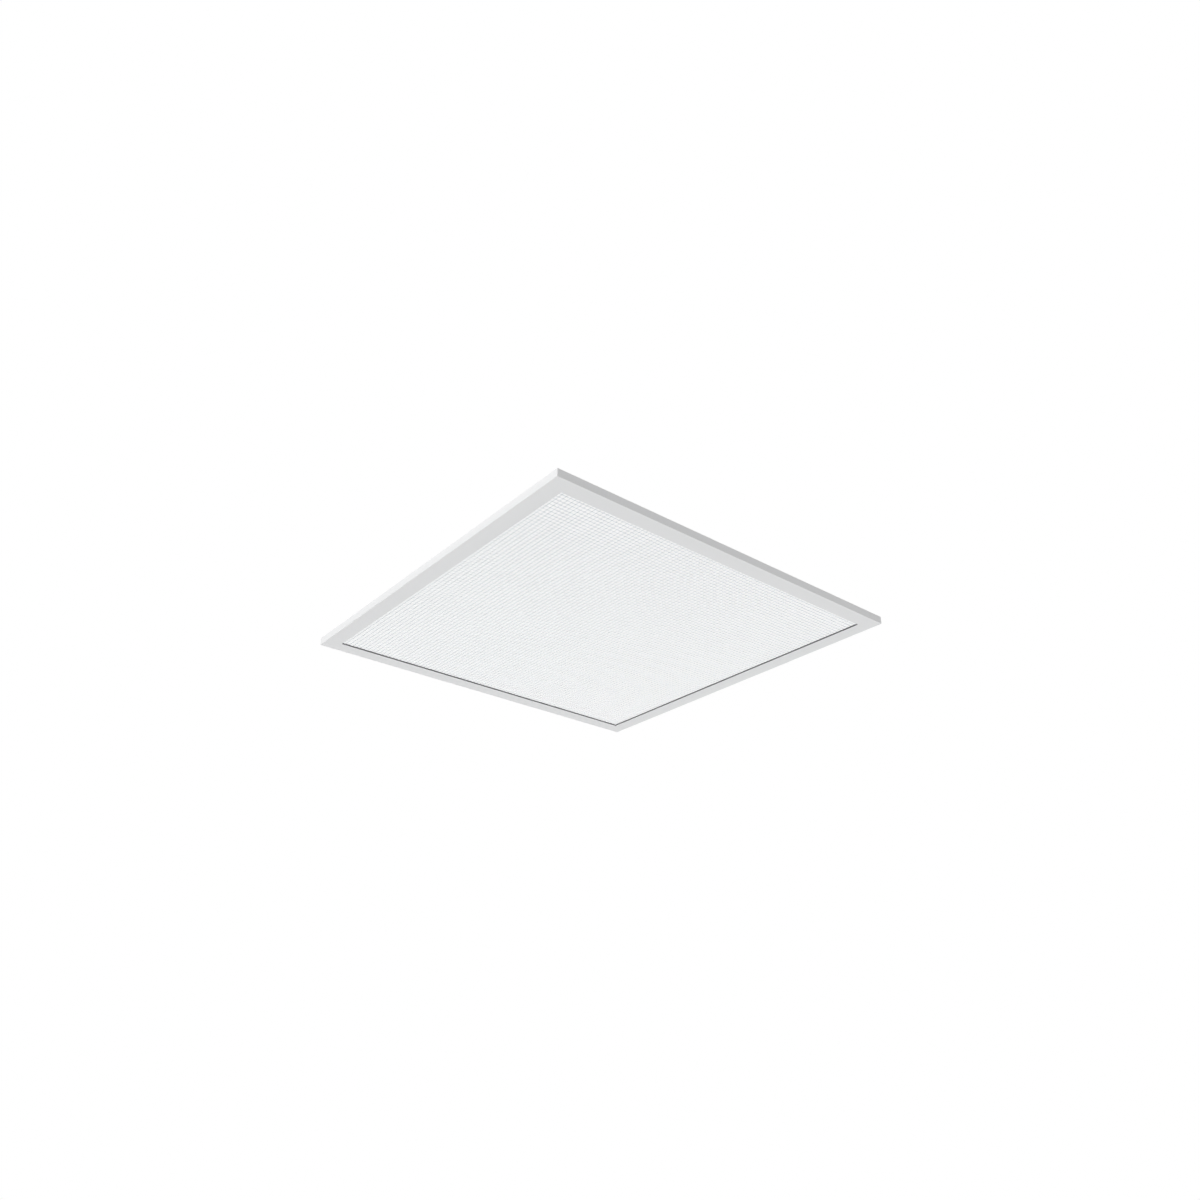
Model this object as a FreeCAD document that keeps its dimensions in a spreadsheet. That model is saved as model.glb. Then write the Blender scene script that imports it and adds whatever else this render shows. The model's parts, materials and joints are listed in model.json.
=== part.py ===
"""A recessed troffer light: a flat edge-lit panel that lies in a 600 mm ceiling grid.

Millimetres. The origin is the centre of the rim's lower face, +Z points up into the ceiling void, and
the light leaves downwards. The front is the -Y side. Heights are measured from the rim's lower face, and
a distance "in" is measured from the outer face of the frame towards the middle.
"""
import FreeCAD, Part
import math
import os
import re

import Sketcher
from FreeCAD import Placement, Rotation, Vector

# Every size that is set by itself: its name, its value and what it is.
SIZES = [
    ("panel_width", 595, "outer width of the square frame, made for a 600 mm ceiling grid"),
    ("frame_height", 11.3, "height of the frame's outer side"),
    ("rim_width", 24.3, "width of the rim that shows round the lens"),
    ("lip_thickness", 1.9, "thickness of the rim, which is how deep the lens lies"),
    ("edge_radius", 0.3, "rounding of the rim's long edges"),
    ("corner_radius", 0.5, "rounding of the frame's four upright corners"),
    ("outer_wall", 1.4, "outer wall of the hollow frame rail"),
    ("key_chamber", 6.4, "width of the rail's hollow chamber"),
    ("web_thickness", 1.2, "inner web and top web of the rail"),
    ("plate_recess", 1.0, "depth of the seat that the back plate lies in"),
    ("key_leg", 40, "leg of a corner key, from the frame's corner"),
    ("key_fit", 0.2, "play of a corner key in the chamber"),
    ("key_chamfer", 1.2, "lead-in at the ends of a key's legs"),
    ("lens_thickness", 2.0, "prismatic lens"),
    ("film_thickness", 0.3, "diffuser film"),
    ("guide_thickness", 3.0, "light guide plate"),
    ("reflector_thickness", 0.25, "reflector sheet"),
    ("foam_inset", 8, "edge of the foam pad, in from the edge of the lens"),
    ("strip_thickness", 1.0, "board of an LED strip"),
    ("strip_clearance", 0.6, "space above and below an LED strip"),
    ("strip_end_gap", 6, "space past each end of an LED strip"),
    ("led_length", 3.5, "LED package, along the strip"),
    ("led_height", 2.8, "LED package, upwards"),
    ("led_depth", 0.8, "LED package, out from the strip"),
    ("led_pitch", 12, "LED package to LED package"),
    ("light_gap", 0.6, "from the LED packages to the edge of the light guide"),
    ("plate_thickness", 0.8, "back plate"),
    ("plate_clearance", 0.4, "edge of the back plate to the frame's outer wall"),
    ("bead_width", 20, "pressed stiffening bead"),
    ("bead_height", 2.0, "how far a bead stands up from the plate"),
    ("bead_slope", 40, "slope of a bead's sides, in degrees from upright"),
    ("bead_pitch", 52, "bead to bead"),
    ("bead_end_inset", 97.5, "end of a bead, in from the side"),
    ("bead_row_inset", 107.5, "middle of the first bead, in from the front"),
    ("bead_box_gap", 60, "least distance from the last bead's middle to the driver box"),
    ("thread_play", 0.05, "radial play of a screw, rivet or pin in its hole"),
    ("screw_radius", 1.45, "shank of a plate screw"),
    ("screw_head_radius", 2.8, "head of a plate screw"),
    ("screw_head_height", 1.2, "head of a plate screw"),
    ("screw_depth", 6, "shank of a plate screw, below the plate"),
    ("screw_corner_inset", 20, "outermost plate screw on each side, from the frame's corner"),
    ("bracket_inset", 67.5, "rivet of a hanger bracket, in from both sides"),
    ("bracket_sheet", 1.2, "sheet of a hanger bracket"),
    ("bracket_bend", 1.0, "inner bend radius of a hanger bracket and a grid clip"),
    ("bracket_foot", 22, "foot of a hanger bracket"),
    ("bracket_width", 20, "width of a hanger bracket"),
    ("bracket_rise", 12, "height of a hanger bracket's tab above the plate"),
    ("bracket_tab", 17, "tab of a hanger bracket, past its riser"),
    ("hanger_hole_radius", 2.5, "hole for a hanger wire or bolt"),
    ("hanger_hole_edge", 8, "hanger hole's middle, from the end of the tab"),
    ("rivet_radius", 2.0, "shank of a rivet"),
    ("rivet_head_radius", 3.8, "head of a rivet"),
    ("rivet_head_height", 1.2, "head of a rivet"),
    ("clip_side_inset", 117.5, "pivot of a grid clip, in from the frame's side"),
    ("clip_inset", 24, "pivot of a grid clip, in from the frame's front or back"),
    ("clip_reach", 2, "how far an open grid clip stands out past the frame"),
    ("clip_sheet", 1.2, "sheet of a grid clip"),
    ("clip_width", 8, "arm of a grid clip"),
    ("clip_eye_radius", 6, "eye of a grid clip"),
    ("clip_flag", 13, "height of a grid clip's turned-up end"),
    ("pivot_collar_radius", 5, "collar that a grid clip turns on"),
    ("pivot_collar", 0.6, "thickness of that collar"),
    ("running_gap", 0.3, "gap between faces that move past each other"),
    ("box_offset", 120, "middle of the driver box, behind the middle of the panel"),
    ("box_width", 84, "driver box, front to back"),
    ("box_sheet", 0.8, "sheet of the driver box and its lid"),
    ("box_corner", 1.6, "outer bend radius of the driver box"),
    ("box_screw_inset", 9, "screws in the box's floor, in from its outside"),
    ("entry_room", 42, "wiring room between the box's left end and the terminal block"),
    ("end_room", 9.2, "room between the driver and the box's right end"),
    ("driver_gap", 6, "from the terminal block to the driver"),
    ("lid_lip", 7, "depth of the lid's turned-down lip"),
    ("lid_bend", 1.2, "rounding of the lid's folded edges"),
    ("knuckle_radius", 2.0, "hinge knuckle, outside"),
    ("knuckle_length", 8, "hinge knuckle, along the pin"),
    ("hinge_inset", 40.4, "middle of a hinge, in from the end of the driver box"),
    ("hinge_leaf", 7, "depth of a hinge leaf on the box's back wall"),
    ("pin_radius", 1.0, "hinge pin"),
    ("pin_head_radius", 1.6, "head of a hinge pin"),
    ("pin_head", 0.6, "head of a hinge pin, its thickness"),
    ("cable_bore", 4.5, "bore radius of the mains cable's grommet"),
    ("cable_height", 15, "middle of the mains cable's grommet, above the plate"),
    ("knockout_radius", 8, "spare knockout on each side of the mains cable's grommet"),
    ("knockout_spacing", 24, "middle of a spare knockout, from the middle of that grommet"),
    ("knockout_slit", 0.6, "width of the slit round a knockout"),
    ("knockout_web", 0.4, "sheet that is left in that slit"),
    ("lead_bore", 2.5, "bore radius of the grommet for the LED leads"),
    ("lead_inset_along", 30, "that grommet, in from the box's right end"),
    ("lead_inset_across", 12, "that grommet, in from the box's back"),
    ("grommet_wall", 2.0, "rubber between a grommet's bore and its groove"),
    ("grommet_flange", 1.5, "how far a grommet's flange stands out past its groove"),
    ("flange_thickness", 1.5, "thickness of a grommet's flange"),
    ("grommet_play", 0.1, "radial play of a grommet in its hole"),
    ("foam_relief", 2.5, "space round the lead grommet in the foam pad"),
    ("block_length", 26, "terminal block, along the box"),
    ("block_height", 12.1, "terminal block"),
    ("block_wall", 1.5, "wall beside and between the lever slots"),
    ("block_foot", 6, "foot behind the terminal block, for its screws"),
    ("block_foot_height", 2.5, "thickness of that foot"),
    ("block_screw_spacing", 15, "one screw of the terminal block to the other"),
    ("port_radius", 2.0, "wire port of the terminal block"),
    ("port_depth", 14, "depth of a wire port"),
    ("port_height", 4.2, "middle of a wire port, above the box's floor"),
    ("lever_width", 5.4, "terminal lever"),
    ("lever_hub", 2.2, "radius of a lever's hub"),
    ("lever_length", 16, "lever's tip from its pivot"),
    ("lever_tip", 1.4, "thickness of a lever at its tip"),
    ("groove_depth", 0.4, "finger groove across a lever, and half of its width"),
    ("groove_pitch", 1.3, "finger groove to finger groove"),
    ("lever_inset", 4.5, "lever's pivot, from the back of the terminal block"),
    ("lever_depth", 2.6, "lever's pivot, below the top of the terminal block"),
    ("lever_headroom", 1.4, "room over the tip of a raised lever"),
    ("lever_pin_radius", 0.8, "pin through the three levers"),
    ("small_screw_radius", 1.4, "shank of the small screws in the box"),
    ("small_head_radius", 2.6, "head of the small screws in the box"),
    ("small_head_height", 1.3, "head of the small screws in the box"),
    ("earth_inset", 16, "earth screw, in from the box's left end and its front"),
    ("earth_head_radius", 4.2, "head of the earth screw"),
    ("driver_length", 150, "driver, with its fixing ears"),
    ("driver_ear", 10, "fixing ear at each end of the driver"),
    ("driver_width", 40, "driver"),
    ("driver_height", 22, "driver, with its base"),
    ("driver_sheet", 0.8, "base tray of the driver"),
    ("driver_wall", 1.2, "moulded cover of the driver"),
    ("driver_corner", 2.0, "upright corners of the driver's cover"),
    ("vent_width", 1.6, "vent slot in the driver's cover"),
    ("vent_length", 16, "vent slot in the driver's cover"),
    ("vent_pitch", 5, "vent slot to vent slot"),
    ("tray_wall", 5, "side wall of the base tray, which carries the circuit board"),
    ("board_thickness", 1.6, "circuit board of the driver"),
    ("board_headroom", 2.0, "room over the tallest parts on the board"),
    ("coil_length", 26, "transformer, along the driver"),
    ("coil_width", 22, "transformer, across the driver"),
    ("coil_offset", 12, "middle of the transformer, from the middle of the driver"),
    ("capacitor_radius", 5, "capacitor"),
    ("capacitor_offset", 30, "first capacitor, from the middle of the driver, the other way"),
    ("capacitor_pitch", 14, "capacitor to capacitor"),
]

# Sizes that follow from the ones above.
DERIVED = {
    "half": "panel_width / 2",
    "seat_height": "frame_height - plate_recess",
    "plate_top": "seat_height + plate_thickness",
    "chamber_end": "outer_wall + key_chamber",
    "chamber_top": "seat_height - web_thickness",
    "web_face": "chamber_end + web_thickness",
    "screw_line": "outer_wall + key_chamber / 2",
    "screw_hole": "screw_radius + thread_play",
    "screw_side": "half - screw_corner_inset",
    "optic_half": "half - web_face - strip_thickness - led_depth - light_gap",
    "lens_top": "lip_thickness + lens_thickness",
    "film_top": "lens_top + film_thickness",
    "guide_top": "film_top + guide_thickness",
    "reflector_top": "guide_top + reflector_thickness",
    "guide_middle": "film_top + guide_thickness / 2",
    "strip_half": "half - web_face - strip_end_gap",
    "plate_half": "half - outer_wall - plate_clearance",
    "rivet_hole": "rivet_radius + thread_play",
    "bracket_place": "half - bracket_inset",
    "clip_place": "half - clip_inset",
    "clip_offset": "half - clip_side_inset",
    "clip_bottom": "plate_top + pivot_collar + running_gap",
    "clip_top": "clip_bottom + clip_sheet",
    "clip_tip": "clip_inset + clip_reach",
    "box_length": "2 * box_sheet + entry_room + block_length + block_foot + driver_gap"
                  " + driver_length + end_room",
    "box_half": "box_length / 2",
    "box_front": "box_offset - box_width / 2",
    "box_back": "box_offset + box_width / 2",
    "floor_top": "plate_top + box_sheet",
    "block_top": "floor_top + block_height",
    "box_top": "block_top + lever_length + lever_headroom",
    "lid_bottom": "box_top + running_gap",
    "lid_top": "lid_bottom + box_sheet",
    "lid_corner": "box_corner + running_gap + box_sheet",
    "hinge_offset": "box_half - hinge_inset",
    "hinge_height": "lid_top - knuckle_radius",
    "hinge_back": "box_back + running_gap + knuckle_radius",
    "pin_hole": "pin_radius + thread_play",
    "knuckle_step": "knuckle_length + running_gap",
    "cable_middle": "plate_top + cable_height",
    "lead_along": "box_half - lead_inset_along",
    "lead_across": "box_back - lead_inset_across",
    "small_screw_hole": "small_screw_radius + thread_play",
    "box_screw_along": "box_half - box_screw_inset",
    "box_screw_across": "box_width / 2 - box_screw_inset",
    "block_front": "box_sheet + entry_room - box_half",
    "block_back": "block_front + block_length",
    "foot_end": "block_back + block_foot",
    "lever_slot": "lever_width + 2 * running_gap",
    "lever_pitch": "lever_slot + block_wall",
    "block_width": "3 * lever_slot + 4 * block_wall",
    "pivot_along": "block_back - lever_inset",
    "pivot_height": "block_top - lever_depth",
    "lever_pin_hole": "lever_pin_radius + thread_play",
    "driver_start": "foot_end + driver_gap",
    "driver_end": "driver_start + driver_length",
    "driver_middle": "driver_start + driver_length / 2",
    "cover_half": "driver_length / 2 - driver_ear",
    "tray_floor": "floor_top + driver_sheet",
    "driver_top": "floor_top + driver_height",
    "board_half_width": "driver_width / 2 - driver_wall - running_gap",
    "board_half_length": "cover_half - driver_wall - running_gap",
    "board_bottom": "tray_floor + tray_wall",
    "board_top": "board_bottom + board_thickness",
    "parts_top": "driver_top - driver_wall - board_headroom",
}

SCREWS_PER_SIDE = 3
LEVER_GROOVES = 3
SCREW_FLATS = 8
PIVOT_FLATS = 12
# Edges nearer than this to a height or a plane lie in it.
TOUCH = 0.001
SIDES = {"front": 0, "right": 90, "back": 180, "left": 270}
CORNERS = {"front_left": (-1, -1), "front_right": (1, -1), "back_right": (1, 1), "back_left": (-1, 1)}
POLES = {"live": -1, "earth": 0, "neutral": 1}

doc = FreeCAD.newDocument("recessed_troffer")
sheet = doc.addObject("Spreadsheet::Sheet", "sizes")
for row, (size, number, note) in enumerate(SIZES, 1):
    sheet.set(f"A{row}", size)
    sheet.set(f"B{row}", str(number))
    sheet.set(f"C{row}", note)
    sheet.setAlias(f"B{row}", size)
doc.recompute()
SIZE_NAMES = {size for size, number, note in SIZES}


def formula(text):
    """Write a formula's names out as cells of the sheet."""
    def cell(match):
        word = match.group()
        if word in DERIVED:
            return f"({formula(DERIVED[word])})"
        return f"sizes.{word}" if word in SIZE_NAMES else word
    return re.sub(r"[a-z_]+", cell, str(text))


def value(text):
    """The number that a formula gives with the sheet's present sizes."""
    return float(sheet.evalExpression(formula(text)))


def bind(target, prop, text):
    """Tie a property to a formula."""
    target.setExpression(prop, formula(text))


def new_body(label):
    """An empty body. A body of identical fasteners holds several solids."""
    body = doc.addObject("PartDesign::Body", label)
    body.Label = label
    body.AllowCompound = True
    return body


def origin(body, role):
    """A plane or axis of the body's own origin."""
    return next(item for item in body.Origin.OriginFeatures if item.Role == role)


def sketch(body, plane, x=0, y=0, z=0):
    """A sketch on one of the body's planes, with its own origin moved to (x, y, z)."""
    new = body.newObject("Sketcher::SketchObject", f"{body.Label}_sketch")
    new.AttachmentSupport = [(origin(body, f"{plane}_Plane"), "")]
    new.MapMode = "FlatFace"
    offsets = {"XY": (x, y, z), "XZ": (x, z, f"-({y})"), "YZ": (y, z, x)}[plane]
    for axis, offset in zip("xyz", offsets):
        bind(new, f"AttachmentOffset.Base.{axis}", offset)
    return new


def constrain(drawing, kind, geometry, text):
    """Add one dimension to a sketch and tie it to a formula."""
    number = drawing.addConstraint(Sketcher.Constraint(kind, *geometry, value(text)))
    bind(drawing, f"Constraints[{number}]", text)


def place(drawing, edge, point, x, y):
    """Dimension a point of a sketch from the sketch's origin."""
    constrain(drawing, "DistanceX", (-1, 1, edge, point), x)
    constrain(drawing, "DistanceY", (-1, 1, edge, point), y)


def outline(drawing, corners):
    """Draw a closed loop. A corner (x, y) starts a line to the next corner. A corner
    (x, y, centre x, centre y, turn) starts an arc, anticlockwise where turn is 1, clockwise at -1."""
    points = [Vector(value(corner[0]), value(corner[1]), 0) for corner in corners]
    edges = []
    for corner, start, end in zip(corners, points, points[1:] + points[:1]):
        if len(corner) == 2:
            edges.append((drawing.addGeometry(Part.LineSegment(start, end), False), 1, 2))
            continue
        centre_x, centre_y, turn = corner[2:]
        centre = Vector(value(centre_x), value(centre_y), 0)
        angles = [math.atan2(point.y - centre.y, point.x - centre.x) for point in (start, end)[::turn]]
        if angles[1] <= angles[0]:
            angles[1] += 2 * math.pi
        whole = Part.Circle(centre, Vector(0, 0, 1), start.distanceToPoint(centre))
        edge = drawing.addGeometry(Part.ArcOfCircle(whole, *angles), False)
        edges.append((edge,) + (1, 2)[::turn])
        if abs(end.x - start.x) > abs(end.y - start.y):
            constrain(drawing, "DistanceY", (-1, 1, edge, 3), centre_y)
        else:
            constrain(drawing, "DistanceX", (-1, 1, edge, 3), centre_x)
    for corner, (edge, first, last), (other, joined, _) in zip(corners, edges, edges[1:] + edges[:1]):
        drawing.addConstraint(Sketcher.Constraint("Coincident", edge, last, other, joined))
        place(drawing, edge, first, corner[0], corner[1])


def rectangle(drawing, left, low, right, high):
    """Draw a rectangle between two corners."""
    outline(drawing, [(left, low), (right, low), (right, high), (left, high)])


def rounded_rectangle(drawing, left, low, right, high, radius):
    """Draw a rectangle with rounded corners."""
    near, far = f"({left} + {radius})", f"({right} - {radius})"
    bottom, top = f"({low} + {radius})", f"({high} - {radius})"
    outline(drawing, [
        (near, low), (far, low, far, bottom, 1),
        (right, bottom), (right, top, far, top, 1),
        (far, high), (near, high, near, top, 1),
        (left, top), (left, bottom, near, bottom, 1),
    ])


def stadium(drawing, end, radius):
    """Draw a slot along X from -end to +end. Each end is a half circle with six flats."""
    right = [(f"{end} - {radius} + {radius} * cos({angle})", f"{radius} * sin({angle})")
             for angle in range(-90, 91, 30)]
    left = [(f"-({x})", f"-({y})") for x, y in right]
    outline(drawing, right + left)


def circle(drawing, x, y, radius):
    """Draw a circle."""
    start = Part.Circle(Vector(value(x), value(y), 0), Vector(0, 0, 1), value(radius))
    edge = drawing.addGeometry(start, False)
    place(drawing, edge, 3, x, y)
    constrain(drawing, "Radius", (edge,), radius)


def polygon(drawing, x, y, radius, flats):
    """Draw a regular polygon whose corners lie on a circle."""
    centre = Vector(value(x), value(y), 0)
    rim = drawing.addGeometry(Part.Circle(centre, Vector(0, 0, 1), value(radius)), True)
    place(drawing, rim, 3, x, y)
    constrain(drawing, "Radius", (rim,), radius)
    angles = [math.pi * (2 * step - 1) / flats for step in range(flats)]
    corners = [centre + Vector(math.cos(angle), math.sin(angle), 0) * value(radius) for angle in angles]
    edges = [drawing.addGeometry(Part.LineSegment(start, end), False)
             for start, end in zip(corners, corners[1:] + corners[:1])]
    rules = [Sketcher.Constraint("Vertical", edges[0])]
    for edge, following in zip(edges, edges[1:] + edges[:1]):
        rules.append(Sketcher.Constraint("Coincident", edge, 2, following, 1))
        rules.append(Sketcher.Constraint("PointOnObject", edge, 2, rim))
    rules += [Sketcher.Constraint("Equal", edges[0], edge) for edge in edges[1:]]
    drawing.addConstraint(rules)


def bore(drawing, x, y, radius, flats):
    """Draw a hole with flats that touch a circle, so that a round shank of that radius turns in it."""
    polygon(drawing, x, y, f"(({radius}) / cos({180 / flats}))", flats)


def extrude(kind, drawing, length, both_ways, reverse):
    body = drawing.getParentGeoFeatureGroup()
    feature = body.newObject(f"PartDesign::{kind}", f"{body.Label}_{kind.lower()}")
    feature.Profile = drawing
    feature.SideType = "Symmetric" if both_ways else "One side"
    feature.Reversed = reverse
    bind(feature, "Length", length)
    return feature


def pad(drawing, length, both_ways=False, reverse=False):
    """Add material along the sketch's normal, or half each way."""
    return extrude("Pad", drawing, length, both_ways, reverse)


def cut(drawing, length, both_ways=False, reverse=False):
    """Take material away against the sketch's normal, or half each way."""
    return extrude("Pocket", drawing, length, both_ways, reverse)


def round_top(feature, height, radius, back):
    """Round the edges of a pad's top, all but the ones that lie as far back as y = back."""
    feature.recompute(True)
    edges = [f"Edge{number}" for number, edge in enumerate(feature.Shape.Edges, 1)
             if all(abs(end.Z - value(height)) < TOUCH for end in edge.Vertexes)
             and edge.CenterOfMass.y < value(back) - TOUCH]
    body = feature.getParentGeoFeatureGroup()
    rounding = body.newObject("PartDesign::Fillet", f"{body.Label}_rounding")
    rounding.Base = (feature, edges)
    bind(rounding, "Radius", radius)


def repeat(features, rows, turns=1):
    """Repeat features in rows, each (axis, whole length, count), and then round the Z axis."""
    body = features[0].getParentGeoFeatureGroup()
    pattern = body.newObject("PartDesign::MultiTransform", f"{body.Label}_pattern")
    steps = []
    for axis, length, count in rows:
        step = body.newObject("PartDesign::LinearPattern", f"{body.Label}_row")
        step.Direction = (origin(body, f"{axis}_Axis"), [""])
        step.Occurrences = count
        bind(step, "Length", length)
        steps.append(step)
    if turns > 1:
        step = body.newObject("PartDesign::PolarPattern", f"{body.Label}_turn")
        step.Axis = (origin(body, "Z_Axis"), [""])
        step.Angle = 360
        step.Occurrences = turns
        steps.append(step)
    pattern.Originals = features
    pattern.Transformations = steps
    body.Tip = pattern
    return pattern


def turned(body, degrees):
    """Turn a finished body about the Z axis of the panel."""
    body.Placement = Placement(Vector(0, 0, 0), Rotation(Vector(0, 0, 1), degrees))


def moved(body, x, y, z, degrees=0):
    """Turn a finished body about its own origin and carry it to (x, y, z)."""
    body.Placement = Placement(Vector(0, 0, 0), Rotation(Vector(0, 0, 1), degrees))
    for axis, distance in zip("xyz", (x, y, z)):
        bind(body, f"Placement.Base.{axis}", distance)


def fastener(label, x, y, base, shank, depth, head, height):
    """A screw or rivet whose head lies on the height base: its shank and its head."""
    body = new_body(label)
    stem = sketch(body, "XY", x, y, base)
    polygon(stem, 0, 0, shank, SCREW_FLATS)
    stem_pad = pad(stem, depth, reverse=True)
    cap = sketch(body, "XY", x, y, base)
    polygon(cap, 0, 0, head, PIVOT_FLATS)
    return [stem_pad, pad(cap, height)]


def grommet(label, plane, place_of_ring, inner, hold):
    """A rubber ring that grips sheet metal from its sketch's plane to hold. Its hole is cut later."""
    ring = new_body(label)
    groove = sketch(ring, plane, *place_of_ring)
    polygon(groove, 0, 0, f"{inner} + grommet_wall", PIVOT_FLATS)
    pad(groove, hold)
    x, y, z = place_of_ring
    far_side = (x, y, f"{z} + {hold}") if plane == "XY" else (f"{x} + {hold}", y, z)
    for place_of_flange, reverse in ((place_of_ring, True), (far_side, False)):
        flange = sketch(ring, plane, *place_of_flange)
        polygon(flange, 0, 0, f"{inner} + grommet_wall + grommet_flange", PIVOT_FLATS)
        pad(flange, "flange_thickness", reverse=reverse)
    return sketch(ring, plane, *place_of_ring)


# --- The frame: four mitred hollow rails, locked by keys in their chambers ---

def frame_rail(side, degrees):
    rail = new_body(f"frame_rail_{side}")
    section = sketch(rail, "YZ", y="-half")
    outline(section, [
        ("edge_radius", 0),
        ("rim_width - edge_radius", 0, "rim_width - edge_radius", "edge_radius", 1),
        ("rim_width", "edge_radius"),
        ("rim_width", "lip_thickness"),
        ("web_face", "lip_thickness"),
        ("web_face", "seat_height"),
        ("outer_wall", "seat_height"),
        ("outer_wall", "frame_height"),
        ("edge_radius", "frame_height",
         "edge_radius", "frame_height - edge_radius", 1),
        (0, "frame_height - edge_radius"),
        (0, "edge_radius", "edge_radius", "edge_radius", 1),
    ])
    rectangle(section, "outer_wall", "lip_thickness", "chamber_end", "chamber_top")
    pad(section, "panel_width", both_ways=True)
    # Each end is cut at 45 degrees and rounded at the frame's corner.
    tip = "(corner_radius - corner_radius * sqrt(2) / 2)"
    past = "(rim_width + outer_wall)"
    mitres = sketch(rail, "XY", y="-half", z="frame_height / 2")
    for way, turn in ((-1, -1), (1, 1)):
        end, back = f"({way} * half)", f"({-way})"
        outline(mitres, [
            (f"{end} + {back} * {tip}", tip), (f"{end} + {back} * {past}", past),
            (f"{end} - {back} * {past}", past), (f"{end} - {back} * {past}", f"-{past}"),
            (f"{end} + {back} * corner_radius", f"-{past}"),
            (f"{end} + {back} * corner_radius", 0,
             f"{end} + {back} * corner_radius", "corner_radius", turn),
        ])
    cut(mitres, "2 * frame_height", both_ways=True)
    # Pilot holes for the plate screws go through the top web.
    holes = sketch(rail, "XY", x="-screw_side", y="screw_line - half", z="seat_height")
    bore(holes, 0, 0, "screw_hole", SCREW_FLATS)
    repeat([cut(holes, "web_thickness + key_fit / 2")], [("X", "2 * screw_side", SCREWS_PER_SIDE)])
    turned(rail, degrees)


def corner_key(corner, degrees):
    key = new_body(f"corner_key_{corner}")
    near, far = "(outer_wall + key_fit)", "(chamber_end - key_fit)"
    legs = sketch(key, "XY", x="-half", y="-half", z="lip_thickness + key_fit")
    outline(legs, [
        (near, near), ("key_leg - key_chamfer", near), ("key_leg", f"{near} + key_chamfer"),
        ("key_leg", f"{far} - key_chamfer"), ("key_leg - key_chamfer", far), (far, far),
        (far, "key_leg - key_chamfer"), (f"{far} - key_chamfer", "key_leg"),
        (f"{near} + key_chamfer", "key_leg"), (near, "key_leg - key_chamfer"),
    ])
    pad(legs, "chamber_top - lip_thickness - 2 * key_fit")
    holes = sketch(key, "XY", x="-half", y="-half", z="chamber_top")
    bore(holes, "screw_corner_inset", "screw_line", "screw_hole", SCREW_FLATS)
    bore(holes, "screw_line", "screw_corner_inset", "screw_hole", SCREW_FLATS)
    cut(holes, "chamber_top - lip_thickness")
    turned(key, degrees)


for name, angle in SIDES.items():
    frame_rail(name, angle)
for name, angle in zip(CORNERS, SIDES.values()):
    corner_key(name, angle)


# --- The optical stack, from the lens on the rim's lip up to the foam under the plate ---

def layer(label, low, high, inset=0):
    body = new_body(label)
    square = sketch(body, "XY", z=low)
    edge = f"(optic_half - {inset})"
    rectangle(square, f"-{edge}", f"-{edge}", edge, edge)
    pad(square, f"({high}) - ({low})")
    return body


layer("prismatic_lens", "lip_thickness", "lens_top")
layer("diffuser_film", "lens_top", "film_top")
layer("light_guide_plate", "film_top", "guide_top")
layer("reflector_sheet", "guide_top", "reflector_top")
foam = layer("foam_pad", "reflector_top", "seat_height", "foam_inset")
relief = sketch(foam, "XY", z="seat_height")
bore(relief, "lead_along", "lead_across", "lead_bore + grommet_wall + grommet_flange + foam_relief",
     PIVOT_FLATS)
cut(relief, "seat_height - reflector_top")


def led_strip(side, degrees):
    strip = new_body(f"led_strip_{side}")
    board = sketch(strip, "XZ", y="web_face - half", z="lip_thickness + strip_clearance")
    rectangle(board, "-strip_half", 0, "strip_half",
              "seat_height - lip_thickness - 2 * strip_clearance")
    pad(board, "strip_thickness", reverse=True)
    turned(strip, degrees)
    packages = new_body(f"led_packages_{side}")
    span = 2 * value("strip_half") - value("led_pitch")
    spaces = int(span / value("led_pitch"))
    first = sketch(packages, "XZ", x=f"-led_pitch * {spaces} / 2", y="web_face + strip_thickness - half",
                   z="guide_middle")
    rectangle(first, "-led_length / 2", "-led_height / 2", "led_length / 2", "led_height / 2")
    repeat([pad(first, "led_depth", reverse=True)], [("X", f"led_pitch * {spaces}", spaces + 1)])
    turned(packages, degrees)


for name in ("left", "right"):
    led_strip(name, SIDES[name])


# --- The back plate, with pressed beads, and what is screwed or riveted to it ---

plate = new_body("back_plate")
face = sketch(plate, "XY", z="seat_height")
rectangle(face, "-plate_half", "-plate_half", "plate_half", "plate_half")
pad(face, "plate_thickness")
bead_rows = int((value("box_front - bead_box_gap") + value("half - bead_row_inset")) / value("bead_pitch"))
outside = sketch(plate, "XY", y="bead_row_inset - half", z="plate_top")
stadium(outside, "(half - bead_end_inset)", "(bead_width / 2)")
raised = pad(outside, "bead_height")
bind(raised, "TaperAngle", "-bead_slope")
inside = sketch(plate, "XY", y="bead_row_inset - half", z="seat_height")
stadium(inside, "(half - bead_end_inset - plate_thickness)", "(bead_width / 2 - plate_thickness)")
hollow = cut(inside, "bead_height", reverse=True)
bind(hollow, "TaperAngle", "-bead_slope")
repeat([raised, hollow], [("Y", f"bead_pitch * {bead_rows}", bead_rows + 1)])
screw_holes = sketch(plate, "XY", x="-screw_side", y="screw_line - half", z="plate_top")
bore(screw_holes, 0, 0, "screw_hole", SCREW_FLATS)
repeat([cut(screw_holes, "plate_thickness")], [("X", "2 * screw_side", SCREWS_PER_SIDE)], turns=4)
other_holes = sketch(plate, "XY", z="plate_top")
for across, along in CORNERS.values():
    bore(other_holes, f"{across} * bracket_place", f"{along} * bracket_place", "rivet_hole", SCREW_FLATS)
    bore(other_holes, f"{across} * clip_offset", f"{along} * clip_place", "rivet_hole", SCREW_FLATS)
    bore(other_holes, f"{across} * box_screw_along", f"box_offset + {along} * box_screw_across",
         "small_screw_hole", SCREW_FLATS)
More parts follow.
